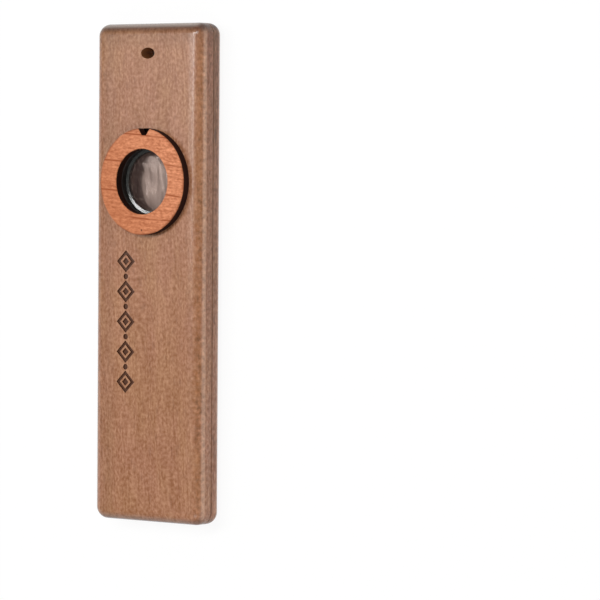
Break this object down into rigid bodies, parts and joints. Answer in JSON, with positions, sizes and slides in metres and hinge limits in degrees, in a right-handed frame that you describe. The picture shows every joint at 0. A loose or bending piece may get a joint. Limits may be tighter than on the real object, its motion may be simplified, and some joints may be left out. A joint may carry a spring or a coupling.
{
  "type": "kazoo",
  "caption": "Flat wooden kazoo: a slim glued body with an air channel from end to end, and a push-in ring cap that holds a thin buzzing film over a round port.",
  "frame": {"origin": "middle of the flat back face, which the kazoo lies on", "axes": "+X across the body, +Y along it towards the end with the oval vent, +Z out of the front face through the ring cap"},
  "size_m": [0.0336, 0.122, 0.0111],
  "materials": {
    "body_wood": "oiled brown hardwood with open pores, satin",
    "cap_wood": "laser-cut orange-brown veneer ply, cut edges charred dark",
    "cap_plastic": "turned black plastic, satin gloss",
    "hoop_plastic": "hazy clear moulded plastic, glossy",
    "film": "thin crinkled translucent plastic film, glossy"
  },
  "bodies": {
    "body": {"front_board": "body_wood", "back_board": "body_wood"},
    "cap": {"cap_ring": "cap_wood", "cap_spigot": "cap_plastic"},
    "membrane": {"membrane_hoop": "hoop_plastic"},
    "film": {"membrane_film": "film"}
  },
  "joints": [
    {"name": "cap_lift", "type": "slide", "parent": "body", "child": "cap", "axis": [0, 0, 1], "range_m": [0, 0.025]},
    {"name": "membrane_lift", "type": "slide", "parent": "body", "child": "membrane", "axis": [0, 0, 1], "range_m": [0, 0.0125]},
    {"name": "film_buzz", "type": "slide", "parent": "membrane", "child": "film", "axis": [0, 0, 1], "range_m": [-0.00025, 0.00025], "stiffness_N_per_m": 20, "deforming": ["membrane_film"]}
  ],
  "couplings": [
    {"joint": "membrane_lift", "follows": "cap_lift", "ratio": 0.5}
  ]
}
